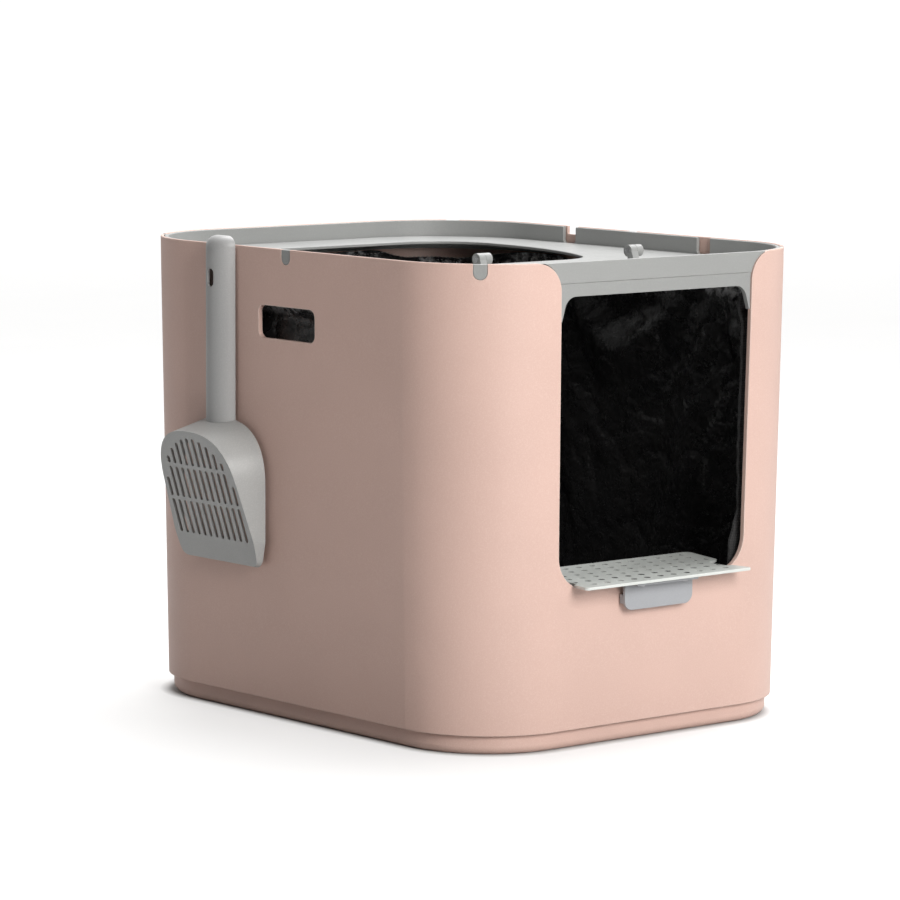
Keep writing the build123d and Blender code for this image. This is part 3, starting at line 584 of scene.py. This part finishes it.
def hang(piece):
    """Hangs the bag from its eyelets by cloth simulation and returns the moved points."""
    start = rest + out * (waves(rest, size=0.11, seed=3) * 0.0015)[:, None]
    piece.data.vertices.foreach_set("co", start.ravel())
    weight = np.where(on_wall, HOLD_WALL, HOLD_FLOOR)
    weight = np.where(rest[:, 2] > top_z - TOP_HEM - 0.001, HOLD_HEM, weight)
    weight = np.where(beside_door, HOLD_DOOR, weight)
    weight = np.where(far_from_held < EYELET_GRIP, HOLD_EYELET, weight)
    group = piece.vertex_groups.new(name="held")
    for index, amount in enumerate(weight):
        group.add([index], float(amount), "REPLACE")
    cloth = piece.modifiers.new("hang", "CLOTH")
    settings = cloth.settings
    settings.quality = 5
    settings.mass = 0.15
    settings.tension_stiffness = settings.compression_stiffness = 30
    settings.shear_stiffness = 10
    settings.bending_stiffness = 0.4
    settings.shrink_min = -SLACK
    settings.vertex_group_mass = "held"
    settings.pin_stiffness = 1.0
    settings.effector_weights.gravity = 0.5
    cloth.collision_settings.use_collision = False
    cloth.point_cache.frame_start, cloth.point_cache.frame_end = 1, FRAMES
    scene.frame_start, scene.frame_end = 1, FRAMES
    for step in range(1, FRAMES + 1):
        scene.frame_set(step)
    depsgraph = bpy.context.evaluated_depsgraph_get()
    hung = coordinates(piece.evaluated_get(depsgraph).data)
    piece.modifiers.clear()
    piece.vertex_groups.clear()
    scene.frame_set(1)
    return hung


def kept_in_room(hung):
    """Hung points, kept between the housing's walls and the CAD bag's inner space."""
    shift = hung - rest
    through = np.sum(shift * out, axis=1)
    along = shift - out * through[:, None]
    loose = ramp(far_from_held, 0.008, 0.05)
    above_base = ramp(rest[:, 2], BASE_TOP, 0.05)
    on_walls = np.clip(through, -CAP_IN, CAP_OUT * above_base)
    through = np.where(on_wall, on_walls, np.clip(through, -CAP_FLOOR, 0)) * loose
    along = np.clip(along, -CAP_ALONG, CAP_ALONG) * loose[:, None]
    return rest + out * through[:, None] + along


def fold_door_edges(points):
    """Folds the doorway's edges inwards near the sill, more on the right."""
    for side, fold_in in DOOR_FOLDS:
        sideways = side * rest[:, 0]
        edge = ramp(sideways, DOOR_HALF + DOOR_FOLD_WIDE, -DOOR_FOLD_WIDE) * (sideways > DOOR_HALF - 0.001)
        edge *= (rest[:, 1] < -half_y + DOOR_FOLD_BAND) & on_wall
        low = ramp(rest[:, 2], DOOR_FOLD_TOP, -DOOR_FOLD_FADE)
        low *= ramp(rest[:, 2], DOOR_FOLD_BOTTOM, DOOR_FOLD_FADE)
        amount = edge**2 * low * low * (3 - 2 * low)
        points[:, 0] -= side * fold_in * amount
        points[:, 1] -= DOOR_FOLD_FORWARD * amount


def crumpled(body, normals):
    """Points of the subdivided bag with small crumples, deeper near its top, and a rippled floor."""
    near_top = ramp(body[:, 2], 0.31, 0.07)
    small = waves(body, size=0.05, seed=11) * 0.0009
    large = np.abs(waves(body, size=0.08, seed=12, octaves=2)) * (0.0012 + 0.0035 * near_top)
    loose = ramp(distance_to(body, held), 0.01, 0.03) * ramp(body[:, 2], BASE_TOP, 0.03)
    body = body + normals * ((small + large) * loose)[:, None]
    ripple = np.abs(waves(body, size=0.10, seed=17)) * 0.0028 * (body[:, 2] < floor_z + 0.008)
    body[:, 2] = np.maximum(body[:, 2], floor_z) + ripple
    return body


hung = hang(liner)
moved = kept_in_room(hung)
fold_door_edges(moved)
liner.data.vertices.foreach_set("co", moved.ravel())
liner.data.update()

finer = liner.modifiers.new("finer", "SUBSURF")
finer.levels = finer.render_levels = 1
settled(liner)
body = crumpled(coordinates(liner.data), np.array([v.normal for v in liner.data.vertices]))
liner.data.vertices.foreach_set("co", body.ravel())
liner.data.update()
surface = BVHTree.FromPolygons([tuple(p) for p in body], [tuple(p.vertices) for p in liner.data.polygons])


# ------------------------------------------------------------------ hems and stitches
zone_of = np.array([p.material_index for p in liner.data.polygons])
loop_uv = np.empty(len(liner.data.loops) * 2)
liner.data.uv_layers[0].data.foreach_get("uv", loop_uv)
loop_vertex = np.array([loop.vertex_index for loop in liner.data.loops])
vertex_uv = np.zeros((len(body), 2))
vertex_uv[loop_vertex] = loop_uv.reshape(-1, 2)


def hem(name, zone, material, thick):
    """Folded tape over one zone of the liner, on both of its faces."""
    kept, picked = renumbered([tuple(p.vertices) for p, z in zip(liner.data.polygons, zone_of) if z == zone])
    piece = mesh_object(name, body[kept], picked, material, vertex_uv[kept])
    wrap = piece.modifiers.new("wrap", "SOLIDIFY")
    wrap.thickness = thick
    wrap.offset = 0
    soft = piece.modifiers.new("soft", "BEVEL")
    soft.width = thick * 0.4
    soft.segments = 2
    soft.limit_method = "ANGLE"
    soft.angle_limit = radians(50)
    return settled(piece)


top_hem = hem("liner_top_tape", TOP, coated_cloth("coated_hem"), TOP_TAPE_THICK)
door_hem = hem("liner_door_tape", DOOR, webbing("hem_tape", BLACK_TAPE), DOOR_TAPE_THICK)
for face in liner.data.polygons:
    face.material_index = 0
skin = liner.modifiers.new("skin", "SOLIDIFY")
skin.thickness = CLOTH_THICK
skin.offset = 0
settled(liner)


def on_cloth(run, level):
    """Point just proud of the hem's inner side at cloth coordinates, with its normal."""
    proud = HEM_THICK / 2 + 0.0002
    point, normal = rim_point(run)
    flat = point - normal * (top_z - level) * DRAFT
    spot, face_normal, _, _ = surface.find_nearest((*flat, level))
    face_normal = Vector(face_normal)
    if face_normal.dot(Vector((-normal[0], -normal[1], 0))) < 0:
        face_normal = -face_normal
    return spot + face_normal * proud, face_normal


def along_line(values, reach, at):
    """Points or normals of a line, read at a distance from its start."""
    return np.array([np.interp(at, reach, values[:, axis]) for axis in range(3)])


def stitches(name, lines, material, long=0.0031, gap=0.0013, radius=0.00034):
    """Rows of raised stitches along lines of (point, normal) pairs, as one piece."""
    around, stations = 6, (-1.0, -0.8, -0.3, 0.3, 0.8, 1.0)
    angles = [2 * pi * k / around for k in range(around)]
    verts, polys = [], []
    for line in lines:
        spots = np.array([tuple(p) for p, _ in line])
        upwards = np.array([tuple(n) for _, n in line])
        reach = np.concatenate([[0], np.cumsum(np.linalg.norm(np.diff(spots, axis=0), axis=1))])
        for start in np.arange(gap, reach[-1] - long, long + gap):
            place = [along_line(spots, reach, start + long * (0.5 + 0.5 * s)) for s in stations]
            up = along_line(upwards, reach, start + long / 2)
            up /= np.linalg.norm(up)
            ahead = place[-1] - place[0]
            ahead /= max(np.linalg.norm(ahead), 1e-9)
            across = np.cross(ahead, up)
            first = len(verts)
            for s, centre in zip(stations, place):
                swell = radius * max(0.25, (1 - abs(s) ** 2.5) ** 0.5)
                sunk = centre - up * radius * 0.9 * s**4
                verts += [sunk + swell * (cos(angle) * across + sin(angle) * up) for angle in angles]
            last = first + (len(stations) - 1) * around
            for low in range(first, last, around):
                for k in range(around):
                    after = (k + 1) % around
                    polys.append((low + k, low + after, low + around + after, low + around + k))
            polys.append(tuple(range(first + around - 1, first - 1, -1)))
            polys.append(tuple(range(last, last + around)))
    return mesh_object(name, verts, polys, material)


def top_line(drop):
    """Stitch line round the liner's top, at a distance below its edge."""
    start = DOOR_HALF + DOOR_HEM + 0.002
    spans = np.arange(start, 2 * half_length - start, STITCH_STEP)
    return [on_cloth(run, top_z - drop) for run in spans]


def door_line(back):
    """Stitch line down, along and up the liner's cut-out, at a distance from its edge."""
    edge, sill, top = DOOR_HALF + back, SILL_Z - back, top_z - 0.004
    path = [(-edge, level) for level in np.arange(top, sill, -STITCH_STEP)]
    path += [(run, sill) for run in np.arange(-edge, edge, STITCH_STEP)]
    path += [(edge, level) for level in np.arange(sill, top, STITCH_STEP)]
    return [on_cloth(run, level) for run, level in path]


stitch_lines = [top_line(drop) for drop in (TOP_STITCH, TOP_HEM - TOP_STITCH)]
stitch_lines += [door_line(back) for back in (DOOR_STITCH, DOOR_HEM - DOOR_STITCH)]
hem_stitches = stitches("liner_hem_stitches", stitch_lines, thread("hem_thread", GREY_THREAD))


# ------------------------------------------------------------------ where the soft pieces belong
liner_slots = (
    (liner, "liner_fabric"),
    (top_hem, "liner_webbing"),
    (door_hem, "liner_webbing"),
    (hem_stitches, "liner_webbing"),
)
for piece, slot in liner_slots:
    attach(piece, "housing")
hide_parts("liner_bag")
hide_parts("liner_top_hem")
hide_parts("liner_door_hem")


# ------------------------------------------------------------------ studio
def floor_material():
    """Pale matt floor that glows, with a painted contact shadow: no glow in the narrow gap under the base's
    rounded edge.
    """
    material, graph, shader, where = new_material("studio_floor")
    spot = where["Object"]
    mottled = graph.spread(graph.noise(spot, scale=6), 0.3, 0.7)
    base = graph.blend(mottled, (0.49, 0.49, 0.49), (0.51, 0.51, 0.51))
    base_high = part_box("base_tray")[1]
    corner_middle = (base_high.x - CONTACT_CORNER, base_high.y - CONTACT_CORNER, 1)
    past = graph.vectors("SUBTRACT", graph.vectors("ABSOLUTE", spot), corner_middle)
    length = graph.vectors("LENGTH", graph.vectors("MAXIMUM", past), out="Value")
    from_base = graph.maths("SUBTRACT", length, CONTACT_CORNER)
    # painted contact shadow: the glow falls to nothing next to the base
    glow_with_painted_contact_shadow = graph.spread(from_base, -0.003, 0.010, 0.0, 0.5)
    far = graph.spread(from_base, 1.2, 7.0, 0.0, 0.27)
    graph.fill(shader, {"Base Color": base, "Roughness": 0.9, "Specular IOR Level": 0.1})
    graph.fill(shader, {"Emission Color": (1, 1, 1, 1), "Emission Strength": graph.maths("ADD", glow_with_painted_contact_shadow, far)})
    return material


floor = mesh_object(
    "studio_floor",
    [(x * FLOOR_REACH, y * FLOOR_REACH, 0) for x, y in ((-1, -1), (1, -1), (1, 1), (-1, 1))],
    [(0, 1, 2, 3)],
    floor_material(),
    smooth=False,
)
# the floor's own glow lights only the floor
glow_only = bpy.data.collections.new("floor_glow")
glow_only.objects.link(floor)
floor.light_linking.receiver_collection = glow_only


def softbox(name, place, aim, size, power, colour=(1, 1, 1)):
    """Square area light at a place, aimed at a point."""
    light = bpy.data.lights.new(name, "AREA")
    light.shape = "SQUARE"
    light.size = size
    light.energy = power
    light.color = colour
    holder = bpy.data.objects.new(name, light)
    holder.location = place
    holder.rotation_euler = (Vector(aim) - Vector(place)).to_track_quat("-Z", "Y").to_euler()
    scene.collection.objects.link(holder)


softbox("key", (-0.52, -2.66, 1.36), aim=(0, -0.1, 0.2), size=1.3, power=70, colour=(1.0, 0.99, 0.97))
softbox("overhead", (0.9, 0.5, 2.5), aim=(0, 0, 0.3), size=2.0, power=72)
softbox("right", (2.3, -0.7, 1.2), aim=(0.1, -0.1, 0.2), size=1.4, power=5)


def studio_world():
    """World that lights from the back right and shows white to the camera on every side."""
    world = bpy.data.worlds.new("studio")
    graph = Graph(world)
    out = graph.nodes.new("ShaderNodeOutputWorld")
    background = graph.nodes.new("ShaderNodeBackground")
    direction = graph.nodes.new("ShaderNodeTexCoord").outputs["Generated"]
    bright_side = Vector((0.74, 0.50, 0.32)).normalized()
    facing = graph.vectors("DOT_PRODUCT", direction, bright_side, out="Value")
    glow = graph.spread(facing, -0.3, 0.75, 0.04, 1.08)
    seen = graph.nodes.new("ShaderNodeLightPath").outputs["Is Camera Ray"]
    strength = graph.maths("MAXIMUM", glow, seen)
    graph.fill(background, {"Strength": strength, "Color": (1.0, 0.995, 0.985, 1)})
    graph.links.new(background.outputs["Background"], out.inputs["Surface"])
    return world


scene.world = studio_world()
scene.view_settings.view_transform = "Standard"
scene.view_settings.look = "None"
scene.view_settings.exposure = 0.0


def photo_camera():
    """Camera at the photograph's viewpoint, from its azimuth, elevation and roll."""
    back = Vector((sin(AZIMUTH) * cos(ELEVATION), -cos(AZIMUTH) * cos(ELEVATION), sin(ELEVATION)))
    level_right = (-back).cross(Vector((0, 0, 1))).normalized()
    level_up = level_right.cross(-back)
    right = cos(ROLL) * level_right + sin(ROLL) * level_up
    up = cos(ROLL) * level_up - sin(ROLL) * level_right
    lens = bpy.data.cameras.new("camera")
    lens.lens = LENS
    lens.sensor_width = 36
    lens.shift_x, lens.shift_y = SHIFT
    lens.clip_end = 300
    camera = bpy.data.objects.new("camera", lens)
    turn = Matrix((right, up, back)).transposed().to_4x4()
    camera.matrix_world = Matrix.Translation(TARGET + back * DISTANCE) @ turn
    scene.collection.objects.link(camera)
    return camera


scene.camera = photo_camera()
